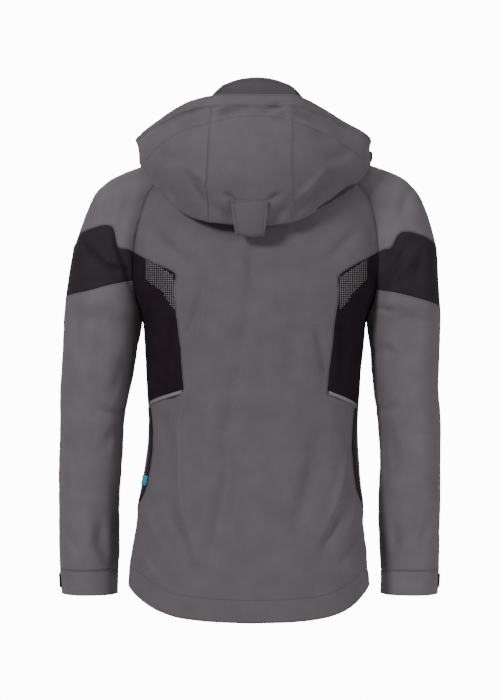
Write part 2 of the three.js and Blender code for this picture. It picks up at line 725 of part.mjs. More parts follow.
function sleeveFront(side) {
  const seams = sleeveSeams(side);
  const outer = sleeveHeights(side, seams.top(1), seams.bottom(1)).flat();
  const inner = sleeveHeights(side, seams.top(0), seams.bottom(0)).flat();
  const panel = new Panel(`sleeve_front_${side}`, 'grey');
  const rows = outer.map((_, j) => steps(COUNT.sleeveFront).map((share) => (
    sleevePoint(side, -1, share, mix(inner[j], outer[j], share))
  )));
  return panel.grid(rows, insideSleeve(side));
}

function cuff(side) {
  const seams = sleeveSeams(side);
  const panel = new Panel(`cuff_${side}`, 'grey');
  const rows = steps(COUNT.cuff).map((v) => {
    const z = mix(CUFF_SEAM_Z, CUFF_HEM_Z, v);
    const behind = seams.columns.map((share) => sleevePoint(side, 1, share, z));
    const before = steps(COUNT.sleeveFront).map((share) => sleevePoint(side, -1, share, z)).reverse();
    return [...behind, ...before.slice(1)];
  });
  return panel.grid(rows, insideSleeve(side));
}

// The neck seam on one side, from the middle of the back to the zip
function neckHalf(side) {
  const back = backNeck(side).map(([angle, z]) => torsoPoint(side, z, angle)).slice(0, -1);
  const top = sleeveSeams(side).columns.map((share) => sleevePoint(side, 1, share, NECK_RING_Z));
  const before = steps(COUNT.sleeveFront)
    .map((share) => sleevePoint(side, -1, 1 - share, NECK_RING_Z)).slice(1);
  const front = steps(COUNT.frontMiddle).map((u) => {
    const [x, z] = along(NECK_FRONT[side], u);
    return torsoPoint(side, z, torsoAngle(side, z, x, -1));
  }).slice(1);
  return [...back, ...top, ...before, ...front];
}

// A place on the collar: a share of the half neck from the back, and a share of its height
function collarPoint(half, share, up) {
  const at = Math.min(share, 1) * (half.length - 1);
  const k = Math.min(Math.floor(at), half.length - 2);
  const base = half[k].clone().lerp(half[k + 1], at - k);
  const { from, to } = COLLAR.turnsFrontAt;
  const frontness = THREE.MathUtils.smoothstep(-base.y, from, to);
  const arch = COLLAR.arch * (base.x - COLLAR.peakX) ** 2;
  const height = mix(COLLAR.backHeight, COLLAR.frontHeight, frontness) - arch;
  const out = base.clone().sub(vec(NECK_X, 0, base.z)).normalize();
  const lean = mix(COLLAR.backLean, COLLAR.frontLean, frontness);
  return base.addScaledVector(out, lean * up).add(vec(0, 0, height * up));
}

const NECK = { left: neckHalf('left'), right: neckHalf('right') };

function collar() {
  const panel = new Panel('collar', 'grey');
  Object.keys(SIDES).forEach((side) => {
    const half = NECK[side];
    const shares = steps(half.length - 1);
    const rows = steps(COUNT.collar).map((up) => shares.map((share) => collarPoint(half, share, up)));
    panel.grid(rows, (p) => vec(NECK_X, 0, p.z));
  });
  return panel;
}

// One hood column: from the neck under the hood to its lowest fold, and up outside to the rim
function hoodColumn(side, u) {
  const { neckUp, neckOut, bellyAt, belly } = HOOD_FORM;
  const neck = collarPoint(NECK[side], HOOD('neck', u), neckUp);
  neck.addScaledVector(neck.clone().sub(vec(NECK_X, 0, neck.z)).normalize(), neckOut);
  const across = (part) => SIDES[side] * HOOD(`${part}${nameOf(side)}`, u);
  const at = (part) => vec(across(part), HOOD(`${part}Y`, u), HOOD(`${part}Z`, u));
  const fold = at('fold');
  const full = at('full');
  const rim = at('rim');
  const under = neck.clone().lerp(fold, 0.5);
  const away = full.clone().sub(neck).normalize();
  const lowOut = fold.clone().lerp(full, bellyAt).addScaledVector(away, belly);
  const curve = new THREE.CatmullRomCurve3([neck, under, fold, lowOut, full, rim], false, 'centripetal');
  const inside = neck.clone().add(fold).add(full).add(rim).multiplyScalar(0.25);
  return { curve, inside };
}

function hoodRows(side, shares, heights, skins) {
  const columns = shares.map((u) => hoodColumn(side, u));
  const { neck, below, grown } = HOOD_CLEARANCE;
  const clearance = (v) => mix(neck, below, Math.min(v / grown, 1));
  return {
    rows: heights.map((v) => columns.map(({ curve }) => keepClear(curve.getPoint(v), skins, clearance(v)))),
    inside: (p, i) => columns[i].inside,
  };
}

// Moves a point out until it clears the panels below it
function keepClear(point, skins, clearance) {
  for (let round = 0; round < 3; round += 1) {
    let best = null;
    let least = Infinity;
    skins.forEach(([place, normal]) => {
      const distance = place.distanceToSquared(point);
      if (distance < least) {
        least = distance;
        best = [place, normal];
      }
    });
    const height = point.clone().sub(best[0]).dot(best[1]);
    if (height < clearance && least < HOOD_CLEARANCE.reach ** 2) {
      point.addScaledVector(best[1], clearance - height);
    }
  }
  return point;
}

function hood(skins) {
  const centre = new Panel('hood_centre', 'grey');
  const brim = new Panel('hood_brim', 'grey');
  const sides = Object.keys(SIDES).map((side) => {
    const middle = hoodRows(side, HOOD_COLUMNS.middle, HOOD_ROWS, skins);
    centre.grid(middle.rows, middle.inside);
    Object.values(HOOD_COLUMNS).forEach((shares) => {
      const edge = hoodRows(side, shares, HOOD_BRIM_ROWS, skins);
      brim.grid(edge.rows, edge.inside);
    });
    const outer = hoodRows(side, HOOD_COLUMNS.outer, HOOD_ROWS, skins);
    return new Panel(`hood_side_${side}`, 'grey').grid(outer.rows, outer.inside);
  });
  return [centre, ...sides, brim];
}

// A strip that lies on a panel, from rows of [angle, height] places on the torso
function torsoStrip(name, colour, side, rows) {
  return new Panel(name, colour).grid(torsoRows(side, rows), insideTorso);
}

function piping(side) {
  const seam = SEAMS[side].insertBottom;
  const shifted = (dz) => seam.map(([angle, z]) => [angle, z + dz]);
  const half = TRIM.pipingWidth / 2;
  return torsoStrip(`side_piping_${side}`, 'piping', side, [shifted(-half), shifted(half)]);
}

// A strip along the side seam's front edge
function seamStrip(name, colour, side, size) {
  const rows = steps(size.rows).map((u) => {
    const z = mix(size.bottom, size.top, u);
    const seam = SIDE_SEAM('angle', z);
    return steps(2).map((v) => [seam - mix(size.near, size.far, v), z]);
  });
  return torsoStrip(name, colour, side, rows);
}

function cuffTab(side) {
  const panel = new Panel(`cuff_tab_${side}`, 'black');
  const rows = [TRIM.cuffTab.top, TRIM.cuffTab.bottom].map((z) => {
    const behind = TRIM.cuffTab.behind.map((share) => sleevePoint(side, 1, share, z));
    const before = TRIM.cuffTab.before.map((share) => sleevePoint(side, -1, share, z));
    return [...behind, ...before];
  });
  return panel.grid(rows, insideSleeve(side));
}

// The strap hangs from the hood's outside over its lowest fold and back under it
function hoodStrap() {
  const panel = new Panel('hood_strap', 'grey');
  const rows = steps(STRAP_LAST_ROW).map((u) => {
    const row = u * STRAP_LAST_ROW;
    return STRAP_COLUMNS.map(([side, share]) => {
      const { curve, inside } = hoodColumn(side, share * STRAP('width', row));
      const point = curve.getPoint(STRAP('along', row));
      const out = point.clone().sub(inside).setX(0).normalize();
      return point.addScaledVector(out, STRAP('proud', row));
    });
  });
  const { inside } = hoodColumn('left', 0);
  return panel.grid(rows, () => inside);
}

// Two tapes that meet at the middle of the front, from the hem to the collar's top
function zipTape(side) {
  const sign = SIDES[side];
  const half = NECK[side];
  const edge = (z) => torsoPoint(side, z, torsoAngle(side, z, FRONT_EDGE_X, -1));
  const bottom = HEM(side, -90);
  const neckZ = NECK_FRONT[side].at(-1)[1];
  const riseRows = COUNT.underBand + COUNT.insert + COUNT.aboveInsert + COUNT.bandRows - 1;
  const low = steps(COUNT.belowFront).map((u) => edge(mix(bottom, INSERT_FRONT.bottomZ, u)));
  const high = steps(riseRows).slice(1).map((u) => edge(mix(INSERT_FRONT.bottomZ, neckZ, u)));
  const stand = steps(COUNT.collar).slice(1).map((up) => collarPoint(half, 1, up));
  const rows = [...low, ...high, ...stand].map((p) => [vec(sign * TRIM.tapeMiddle, p.y, p.z), p]);
  return new Panel(`zip_tape_${side}`, 'zip').grid(rows, insideTorso);
}

// The cord lock touches the hood beside its nearest place, which lies in a slight hollow
function hoodCordLock(hoodSide) {
  const { place, radius, length, hollow } = TRIM.cordLock;
  const at = vec(...place);
  const near = hoodSide.samples().reduce((best, sample) => (
    sample[0].distanceTo(at) < best[0].distanceTo(at) ? sample : best
  ));
  const height = at.clone().sub(near[0]).dot(near[1]);
  at.addScaledVector(near[1], radius + SEAM_GAP - hollow - height);
  const geometry = new THREE.CapsuleGeometry(radius, length, 4, 12);
  geometry.rotateX(Math.PI / 2);
  const mesh = named('hood_cord_lock', closeUp(geometry), 'zip');
  mesh.position.copy(at);
  return mesh;
}

// A closed body again after its corners were shared out: only positions, merged
function closeUp(geometry) {
  geometry.deleteAttribute('normal');
  geometry.deleteAttribute('uv');
  return mergeVertices(geometry, SAME_PLACE);
}

// The slider at the collar's top: a base with two ears, and the pull hinged between them
function zipSlider() {
  const high = collarPoint(NECK.left, 1, 1);
  const low = collarPoint(NECK.left, 1, SLIDER.up - SLIDER.span);
  const at = collarPoint(NECK.left, 1, SLIDER.up);
  const group = new THREE.Group();
  group.position.set(0, at.y - SLIDER.gap, at.z);
  group.rotation.x = Math.atan2(low.y - high.y, high.z - low.z);
  const { width, height, base, ears, ear } = SLIDER;
  const inner = width / 2 - ear;
  const outline = new THREE.Shape();
  outline.moveTo(-width / 2, 0);
  outline.lineTo(width / 2, 0);
  outline.lineTo(width / 2, -base - ears);
  outline.lineTo(inner, -base - ears);
  outline.lineTo(inner, -base);
  outline.lineTo(-inner, -base);
  outline.lineTo(-inner, -base - ears);
  outline.lineTo(-width / 2, -base - ears);
  const body = new THREE.ExtrudeGeometry(outline, { depth: height, bevelEnabled: false });
  body.translate(0, 0, -height / 2);
  group.add(named('zip_slider', closeUp(body), 'zip'));
  group.add(zipPull(inner));
  return group;
}

function zipPull(inner) {
  const { radius, length, thickness } = PULL;
  const profile = new THREE.Shape();
  const start = Math.asin(thickness / 2 / radius);
  profile.absarc(0, 0, radius, -Math.PI / 2 + start, Math.PI * 1.5 - start, false);
  profile.lineTo(-thickness / 2, -length);
  profile.lineTo(thickness / 2, -length);
  const width = 2 * (inner - SEAM_GAP);
  const plate = new THREE.ExtrudeGeometry(profile, { depth: width, bevelEnabled: false, curveSegments: 10 });
  plate.translate(0, 0, -width / 2);
  plate.rotateY(Math.PI / 2);
  plate.rotateX(Math.PI / 2);
  const mesh = named('zip_pull', closeUp(plate), 'zip');
  mesh.position.set(0, -SLIDER.base - SEAM_GAP - radius, 0);
  return mesh;
}

function build() {
  const group = new THREE.Group();
  group.name = 'softshell_jacket';
  const sides = Object.keys(SIDES);
  const body = [
    backPanel(),
    ...sides.map(sideInsert),
    ...sides.map(frontInsert),
    ...sides.map(frontPanel),
    ...sides.flatMap(sleeveBack),
    ...sides.map(sleeveFront),
    ...sides.map(cuff),
  ];
  body.forEach((panel) => panel.findNormals());
  const skins = body.flatMap((panel) => panel.samples());
  const hoodPieces = hood(skins);
  const top = [collar(), ...hoodPieces];
  top.forEach((panel) => panel.findNormals());
  const tapes = sides.map(zipTape);
  tapes.forEach((panel) => panel.findNormals());
  [...body, ...top].forEach((panel) => group.add(panel.mesh()));
  tapes.forEach((panel) => group.add(panel.mesh(TRIM.thickness)));
  const onPanels = [
    ...sides.map(piping),
    ...sides.map((side) => seamStrip(`pocket_welt_${side}`, 'black', side, TRIM.welt)),
    ...sides.map(cuffTab),
  ];
  onPanels.forEach((panel) => group.add(panel.findNormals().mesh(TRIM.thickness, TRIM.thickness + SEAM_GAP)));
  const label = seamStrip('side_label', 'label', 'left', TRIM.label);
  group.add(label.findNormals().mesh(TRIM.thickness, 2 * (TRIM.thickness + SEAM_GAP)));
  group.add(hoodStrap().findNormals().mesh(WALL, WALL + STRAP_LIFT));
  group.add(hoodCordLock(hoodPieces.find((panel) => panel.name === 'hood_side_right')));
  group.add(zipSlider());
  return group;
}

export default build();
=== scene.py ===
# A hooded softshell jacket round its CAD form, seen from behind. Metres, +Z up; the front looks
# along -Y. Every cloth piece is the outer face of its solid, made smooth and dense, with seams,
# folds and stitches added.
import math
from itertools import product

import bmesh
import bpy
import numpy as np
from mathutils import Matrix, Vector
from mathutils.bvhtree import BVHTree
from mathutils.kdtree import KDTree


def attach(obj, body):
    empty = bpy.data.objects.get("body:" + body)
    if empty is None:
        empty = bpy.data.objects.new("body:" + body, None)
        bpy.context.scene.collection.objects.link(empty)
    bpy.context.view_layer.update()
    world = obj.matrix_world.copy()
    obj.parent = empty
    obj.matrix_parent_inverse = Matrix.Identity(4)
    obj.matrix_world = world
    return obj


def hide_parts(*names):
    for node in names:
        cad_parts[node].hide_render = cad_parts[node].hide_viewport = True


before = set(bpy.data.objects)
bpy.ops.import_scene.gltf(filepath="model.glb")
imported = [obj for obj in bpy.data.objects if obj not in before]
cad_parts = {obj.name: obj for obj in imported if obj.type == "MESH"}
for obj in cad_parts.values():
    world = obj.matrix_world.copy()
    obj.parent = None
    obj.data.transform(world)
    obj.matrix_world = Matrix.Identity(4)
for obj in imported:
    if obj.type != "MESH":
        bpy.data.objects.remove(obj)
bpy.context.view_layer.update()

# The camera's place and the size of a pixel on the plane through the jacket's middle
CAMERA = {"x": 0.0008, "y": 3.0, "z": -0.3488, "pixel": 0.0016, "width": 500, "height": 700,
          "sensor": 36}

# The solids' walls, the thickness of the cloth that stands for them, and how finely it is divided
WALL = {"cloth": 0.002, "trim": 0.0012, "tolerance": 0.00001}
THICKNESS = {"cloth": 0.0016, "trim": 0.001}
DETAIL = {"cloth": 3, "trim": 2}

# How often the coarse points are moved, so that the smooth mesh passes through their first places
PASSES = 4

# Joining a wall's corners, and turning pairs of its triangles back into quads
SAME_PLACE = 5e-6
QUAD_TURN = {"face": 1.3, "shape": 2.6}

# Areas and lengths below these count as nothing
TINY = {"area": 1e-12, "length": 1e-9, "stitch": 1e-5}

# Seams: how near their points lie, how alike their directions are, the groove, the puckers beside
# it, and how far from a seam between two groups all of this fades. Beside the zip it fades too
SEAM = {"reach": 0.0012, "alike": 0.3, "depth": 0.0002, "width": 0.0026, "pucker": 0.0009,
        "pucker_width": 0.012, "calm": 0.006}
ZIP_EDGE = {"x": 0.007, "calm": 0.012}

# The cloth's soft unevenness: height, size and the seed of its random draws, then how many waves
# make it up and how much they differ in size
RIPPLES = [(0.0016, 0.11, 3), (0.0004, 0.035, 5)]
PUCKER = {"size": 0.016, "seed": 7}
RIPPLE = {"waves": 9, "shortest": 0.7, "longest": 1.5}

# Folds fade at both ends, and where the cloth turns to the front. There they are those of the back,
# turned over and shifted a little
MILLIMETRE = 0.001
FOLD = {"end": 0.04, "power": 0.6, "turn": 2.5}
FRONT_FLIP = (-0.94, -1, 1.02)

# A stitch: its size, between which shares of its length it is full, and how high that part lies
STITCH = {"length": 0.0029, "gap": 0.0008, "radius": 0.00036, "body": (0.2, 0.8), "raised": 0.6}

# The pieces by their cloth
GREY_PIECES = [
    "back_panel", "front_left", "front_right",
    "sleeve_back_top_left", "sleeve_back_top_right", "sleeve_back_lower_left",
    "sleeve_back_lower_right", "sleeve_front_left", "sleeve_front_right", "cuff_left", "cuff_right",
    "collar", "hood_centre", "hood_side_left", "hood_side_right", "hood_brim", "hood_strap",
]
BLACK_PIECES = [
    "side_upper_left", "side_upper_right", "front_insert_left", "front_insert_right",
    "sleeve_band_left", "sleeve_band_right",
]
TRIM_PIECES = {
    "side_piping_left": "piping", "side_piping_right": "piping",
    "pocket_welt_left": "black_cloth", "pocket_welt_right": "black_cloth",
    "cuff_tab_left": "black_cloth", "cuff_tab_right": "black_cloth",
    "side_label": "label", "zip_tape_left": "zip_tape", "zip_tape_right": "zip_tape",
}

# Folds as seen from behind: what they are on, height in mm (below zero is a trough), width and
# places in pixels of the view
FOLDS = [
    ("body", -5.5, 6, [(205, 262), (202, 294), (190, 328), (183, 348)]),
    ("body", 3.6, 4, [(210, 272), (207, 296), (197, 330), (189, 352)]),
    ("body", 6.1, 4, [(193, 362), (185, 396), (178, 428), (180, 455), (180, 486), (184, 522), (194, 560)]),
    ("body", -3.8, 5, [(176, 380), (170, 408), (166, 438), (170, 470)]),
    ("body", -6.1, 5, [(168, 500), (177, 520), (186, 542), (191, 566)]),
    ("body", -4.3, 8, [(256, 246), (248, 316), (240, 367), (231, 410)]),
    ("body", -7.6, 8, [(234, 392), (226, 432), (228, 474), (219, 525), (207, 568)]),
    ("body", 3.2, 7, [(212, 400), (206, 450), (206, 510), (202, 556)]),
    ("body", -3.8, 9, [(297, 300), (295, 340), (291, 384)]),
    ("body", -5.3, 5, [(316, 322), (323, 352), (329, 388)]),
    ("body", -6.5, 9, [(320, 432), (312, 474), (303, 506), (290, 546)]),
    ("body", 4.9, 4, [(346, 462), (338, 500), (326, 532)]),
    ("body", -5.5, 5, [(344, 500), (333, 530), (321, 556)]),
    ("body", 4.3, 3, [(144, 502), (152, 526), (158, 546)]),
    ("body", -4.9, 4, [(138, 512), (146, 534)]),
    ("body", 4.3, 3, [(141, 550), (150, 571), (160, 584)]),
    ("body", -4.3, 4, [(136, 562), (146, 582)]),
    ("body", -3.8, 4, [(362, 520), (352, 548), (340, 566)]),
    ("body", 3.2, 4, [(356, 508), (346, 534)]),
    ("body", -4.5, 5, [(167, 322), (166, 350), (161, 380)]),
    ("body", 2.8, 4, [(174, 318), (174, 352), (170, 384)]),
    ("body", -3.6, 5, [(346, 318), (345, 350), (341, 384)]),
    ("body", -4.9, 6, [(152, 232), (168, 246), (186, 262)]),
    ("body", -4.5, 6, [(356, 232), (342, 246), (328, 262)]),
    ("body", -3.8, 7, [(252, 240), (252, 262), (254, 290)]),
    ("sleeve", -4.9, 4, [(80, 240), (86, 250), (93, 262)]),
    ("sleeve", -5.5, 3, [(91, 251), (104, 266), (123, 272)]),
    ("sleeve", 3.2, 3, [(96, 249), (108, 260), (124, 266)]),
    ("sleeve", -6.0, 4, [(114, 228), (118, 244), (128, 272), (133, 290)]),
    ("sleeve", 2.8, 4, [(108, 232), (112, 248), (121, 264)]),
    ("sleeve", -4.5, 6, [(105, 187), (109, 208), (111, 226)]),
    ("sleeve", -3.7, 6, [(128, 196), (122, 216), (119, 238)]),
    ("sleeve", -4.5, 6, [(128, 352), (120, 378), (112, 396)]),
    ("sleeve", -5.5, 3, [(126, 408), (114, 412), (100, 408)]),
    ("sleeve", -3.8, 5, [(122, 420), (112, 434), (104, 452)]),
    ("sleeve", -5.5, 6, [(102, 516), (100, 544), (107, 558), (115, 568)]),
    ("sleeve", 3.2, 6, [(88, 510), (88, 540), (96, 562)]),
    ("sleeve", -4.5, 4, [(64, 526), (70, 540), (78, 552)]),
    ("sleeve", -3.2, 5, [(72, 300), (76, 330), (74, 366)]),
    ("sleeve", -3.2, 6, [(98, 300), (102, 340), (96, 380)]),
    ("sleeve", -2.8, 5, [(68, 440), (76, 470), (74, 500)]),
    ("sleeve", -4.7, 6, [(411, 186), (404, 210), (402, 228)]),
    ("sleeve", -3.7, 6, [(386, 200), (392, 220), (393, 240)]),
    ("sleeve", -5.9, 4, [(415, 236), (399, 258), (381, 284)]),
    ("sleeve", 3.7, 4, [(421, 244), (407, 264), (388, 288)]),
    ("sleeve", -4.5, 4, [(420, 256), (418, 280)]),
    ("sleeve", -4.9, 4, [(396, 240), (388, 256), (380, 272)]),
    ("sleeve", -4.9, 4, [(374, 306), (386, 312), (396, 310)]),
    ("sleeve", -4.5, 4, [(373, 352), (384, 348), (396, 354)]),
    ("sleeve", -4.9, 3, [(374, 406), (386, 410), (398, 404)]),
    ("sleeve", -3.8, 6, [(384, 420), (392, 444), (394, 470)]),
    ("sleeve", -3.7, 6, [(416, 320), (412, 352), (416, 386)]),
    ("sleeve", -4.5, 5, [(392, 520), (396, 544), (388, 562)]),
    ("sleeve", -3.8, 5, [(430, 516), (424, 540), (420, 560)]),
    ("hood", -6.5, 4, [(187, 174), (197, 184), (204, 196), (209, 212)]),
    ("hood", 3.8, 4, [(193, 170), (203, 182), (212, 198)]),
    ("hood", -5.8, 5, [(332, 174), (318, 190), (306, 202), (294, 216)]),
    ("hood", 4.5, 4, [(326, 170), (312, 186), (298, 200)]),
    ("hood", -5.8, 4, [(358, 182), (338, 200), (314, 214)]),
    ("hood", -5.3, 5, [(150, 172), (164, 190), (184, 208)]),
    ("hood", 4.5, 3, [(214, 110), (226, 106), (240, 104)]),
    ("hood", -5.3, 4, [(216, 117), (230, 112), (246, 109)]),
    ("hood", -5.8, 4, [(262, 113), (272, 108), (284, 104)]),
    ("hood", 3.8, 3, [(268, 118), (278, 113), (287, 109)]),
    ("hood", -5.3, 4, [(166, 124), (182, 116), (200, 108)]),
    ("hood", 3.6, 3, [(178, 124), (192, 118), (204, 113)]),
    ("hood", -5.3, 4, [(294, 110), (306, 118), (322, 128)]),
    ("hood", 3.6, 3, [(296, 120), (308, 126), (320, 134)]),
    ("hood", -4.9, 3, [(222, 194), (229, 197), (234, 202)]),
    ("hood", -4.9, 3, [(281, 194), (274, 197), (268, 201)]),
    ("hood", -4.5, 6, [(212, 206), (226, 216), (236, 222)]),
    ("hood", -4.5, 6, [(290, 206), (278, 216), (268, 222)]),
    ("hood", -3.8, 7, [(150, 148), (166, 158), (182, 160)]),
    ("hood", -3.8, 7, [(354, 150), (338, 158), (322, 158)]),
    ("strap", -0.9, 1.2, [(234, 202.4), (249, 202.8), (264, 202.4)]),
    ("strap", -0.9, 1.2, [(235.2, 202), (235.6, 212), (237.4, 224), (239.4, 234)]),
    ("strap", -0.9, 1.2, [(263, 202), (262.8, 212), (263.2, 224), (263.4, 234)]),
    ("strap", 0.8, 1.4, [(233, 200.2), (249, 200.6), (265, 200.2)]),
    ("strap", -1.0, 3, [(250, 214), (253, 222), (254, 232)]),
]


def image_place(points):
    """Where points show in the view from behind, in pixels."""
    shrink = CAMERA["y"] / (CAMERA["y"] - points[:, 1]) / CAMERA["pixel"]
    across = CAMERA["width"] / 2 - (points[:, 0] - CAMERA["x"]) * shrink
    down = CAMERA["height"] / 2 - (points[:, 2] - CAMERA["z"]) * shrink
    return np.stack([across, down], axis=1)


def front_place(points):
    """The same places for the hidden front, turned over so that the folds there differ a little."""
    return image_place(points * np.array(FRONT_FLIP))


def line_distance(places, line):
    """Distance of each place from a line, and the share of the line's length that it is beside."""
    line = np.array(line, float)
    lengths = np.linalg.norm(np.diff(line, axis=0), axis=1)
    starts = np.concatenate([[0], np.cumsum(lengths)[:-1]]) / lengths.sum()
    best = np.full(len(places), np.inf)
    share = np.zeros(len(places))
    for a, b, start, length in zip(line[:-1], line[1:], starts, lengths):
        u = np.clip((places - a) @ (b - a) / length**2, 0, 1)
        distance = np.linalg.norm(places - a - u[:, None] * (b - a), axis=1)
        near = distance < best
        best[near] = distance[near]
        share[near] = start + u[near] * length / lengths.sum()
    return best, share


def fold_heights(points, normals, group):
    """How far the folds lift each point."""
    total = np.zeros(len(points))
    behind = image_place(points)
    before = front_place(points)
    facing = np.clip(normals[:, 1] * FOLD["turn"] + 0.5, 0, 1)
    for kind, height, width, line in FOLDS:
        if kind != group:
            continue
        for places, weight in ((behind, facing), (before, 1 - facing)):
            distance, share = line_distance(places, line)
            taper = np.sin(np.pi * np.clip(share, FOLD["end"], 1 - FOLD["end"])) ** FOLD["power"]
            total += MILLIMETRE * height * taper * weight * np.exp(-((distance / width) ** 2))
    return total


def ripple(points, wavelength, seed):
    """Soft random unevenness of one size, the same in every run."""
    random = np.random.default_rng(seed)
    waves = RIPPLE["waves"]
    ways = random.normal(size=(waves, 3))
    ways /= np.linalg.norm(ways, axis=1)[:, None]
    sizes = random.uniform(RIPPLE["shortest"], RIPPLE["longest"], size=(waves, 1))
    ways *= 2 * np.pi / (wavelength * sizes)
    phases = random.uniform(0, 2 * np.pi, size=waves)
    return np.sin(points @ ways.T + phases).mean(axis=1)


def read_face(node, wall):
    """The outer face of a wall, as quads, without the wall's edge and inside."""
    mesh = bmesh.new()
    mesh.from_mesh(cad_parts[node].data)
    bmesh.ops.remove_doubles(mesh, verts=mesh.verts, dist=SAME_PLACE)
    edge_faces = []
    for face in mesh.faces:
        if any(abs(edge.calc_length() - wall) < WALL["tolerance"] for edge in face.edges):
            edge_faces.append(face)
    bmesh.ops.delete(mesh, geom=edge_faces, context="FACES")
    groups = face_groups(mesh)
    groups.sort(key=lambda faces: sum(face.calc_area() for face in faces))
    inside = [face for faces in groups[:-1] for face in faces]
    bmesh.ops.delete(mesh, geom=inside, context="FACES")
    bmesh.ops.join_triangles(mesh, faces=mesh.faces[:], angle_face_threshold=QUAD_TURN["face"],
                             angle_shape_threshold=QUAD_TURN["shape"])
    return mesh


def face_groups(mesh):
    """Faces that hang together."""
    left = set(mesh.faces)
    groups = []
    while left:
        stack = [left.pop()]
        found = []
        while stack:
            face = stack.pop()
            found.append(face)
            for edge in face.edges:
                for other in edge.link_faces:
                    if other in left:
                        left.remove(other)
                        stack.append(other)
        groups.append(found)
    return groups


def coordinates(mesh):
    flat = np.zeros(len(mesh.vertices) * 3, np.float32)
    mesh.vertices.foreach_get("co", flat)
    return flat.reshape(-1, 3).astype(float)


def smooth_dense(mesh, level):
    """A dense smooth mesh that still passes through the points of the coarse one."""
    data = bpy.data.meshes.new("coarse")
    mesh.to_mesh(data)
    mesh.free()
    carrier = bpy.data.objects.new("coarse", data)
    bpy.context.scene.collection.objects.link(carrier)
    modifier = carrier.modifiers.new("dense", "SUBSURF")
    modifier.levels = level
    modifier.boundary_smooth = "PRESERVE_CORNERS"
    target = coordinates(data)
    control = target.copy()
    for _ in range(PASSES):
        data.vertices.foreach_set("co", control.astype(np.float32).ravel())
        data.update()
        bpy.context.view_layer.update()
        graph = bpy.context.evaluated_depsgraph_get()
        dense = bpy.data.meshes.new_from_object(carrier.evaluated_get(graph))
        points = coordinates(dense)
        control += target - points[: len(target)]
    faces = [tuple(face.vertices) for face in dense.polygons]
    bpy.data.objects.remove(carrier)
    return points, faces


class Sheet:
    """One cloth piece while it is made: its points, quads, normals and edge."""

    def __init__(self, name, group):
        self.name = name
        self.group = group
        self.kind = "trim" if group == "trim" else "cloth"
        self.points, self.faces = smooth_dense(read_face(name, WALL[self.kind]), DETAIL[self.kind])
        self.find_edges()
        self.find_normals()

    def find_edges(self):
        self.partners = {}
        pairs = [pair for face in self.faces for pair in zip(face, face[1:] + face[:1])]
        known = set(pairs)
        self.next_edge = {a: b for a, b in pairs if (b, a) not in known}
        self.edge_ids = sorted(self.next_edge)
        self.before_edge = {b: a for a, b in self.next_edge.items()}

    def find_normals(self):
        faces = np.array([face if len(face) == 4 else face + face[-1:] for face in self.faces])
        a, b, c, d = (self.points[faces[:, k]] for k in range(4))
        across = np.cross(c - a, d - b)
        normals = np.zeros_like(self.points)
        for k in range(4):
            np.add.at(normals, faces[:, k], across)
        lengths = np.maximum(np.linalg.norm(normals, axis=1), TINY["area"])
        self.normals = normals / lengths[:, None]

    def chains(self, wanted):
        """Runs of the edge whose points are wanted, in order."""
        starts = [i for i in self.edge_ids if i in wanted and self.before_edge.get(i) not in wanted]
        runs = []
        for start in starts or sorted(wanted)[:1]:
            run = [start]
            passed = {start}
            while self.next_edge.get(run[-1]) in wanted and self.next_edge[run[-1]] not in passed:
                run.append(self.next_edge[run[-1]])
                passed.add(run[-1])
            if not starts:
                run.append(start)
            if len(run) > 2:
                runs.append(run)
        return runs


def tree_of(points):
    tree = KDTree(len(points))
    for i, point in enumerate(points):
        tree.insert(point, i)
    tree.balance()
    return tree


def join_seams(sheets):
    """Points that meet at a seam get one direction and one place, and each sheet learns which
    pieces its edge is sewn to."""
    owners = [(sheet, i) for sheet in sheets for i in sheet.edge_ids]
    points = [sheet.points[i] for sheet, i in owners]
    tree = tree_of(points)
    shared = []
    for (sheet, i), point in zip(owners, points):
        found = [(owners[k], distance) for _, k, distance in tree.find_range(point, SEAM["reach"])]
        own = sheet.normals[i]
        close = [s.normals[j] for (s, j), _ in found if s.normals[j] @ own > SEAM["alike"]]
        total = np.sum(close, axis=0)
        nearest = {}
        for (other, j), distance in sorted(found, key=lambda item: item[1]):
            nearest.setdefault(other.name, other.points[j])
        partners = set(nearest) - {sheet.name}
        place = np.mean(list(nearest.values()), axis=0)
        shared.append((total / np.linalg.norm(total), partners, place))
    for (sheet, i), (normal, partners, place) in zip(owners, shared):
        sheet.normals[i] = normal
        sheet.partners[i] = partners
        sheet.points[i] = place


# Where points are taken along each stretch of a seam
EDGE_SHARES = (0, 0.25, 0.5, 0.75)


def seam_distances(sheet, is_counted=bool):
    """How far each point is from the sheet's sewn edges, or from those whose partners count."""
    dense = []
    for a, b in sheet.next_edge.items():
        if is_counted(sheet.partners[a]) and is_counted(sheet.partners[b]):
            dense += [sheet.points[a] * (1 - u) + sheet.points[b] * u for u in EDGE_SHARES]
    if not dense:
        return np.full(len(sheet.points), np.inf)
    tree = tree_of(dense)
    return np.array([tree.find(point)[2] for point in sheet.points])


def dress(sheet):
    """Adds the folds, the seams' grooves and the cloth's unevenness."""

    def has_other_group(names):
        return any(group_of(name) != sheet.group for name in names)

    distance = seam_distances(sheet)
    other_group = seam_distances(sheet, has_other_group)
    points = sheet.points
    lift = fold_heights(points, sheet.normals, sheet.group)
    lift += sum(height * ripple(points, size, seed) for height, size, seed in RIPPLES)
    lift -= SEAM["depth"] * np.exp(-((distance / SEAM["width"]) ** 2))
    pucker = ripple(points, PUCKER["size"], PUCKER["seed"])
    pucker *= np.exp(-((distance / SEAM["pucker_width"]) ** 2))
    lift += SEAM["pucker"] * pucker
    lift *= 1 - np.exp(-((other_group / SEAM["calm"]) ** 2))
    beside_zip = np.where(points[:, 1] < 0, np.abs(points[:, 0]) - ZIP_EDGE["x"], np.inf)
    lift *= 1 - np.exp(-((beside_zip / ZIP_EDGE["calm"]) ** 2))
    sheet.points = points + sheet.normals * lift[:, None]
    sheet.find_normals()


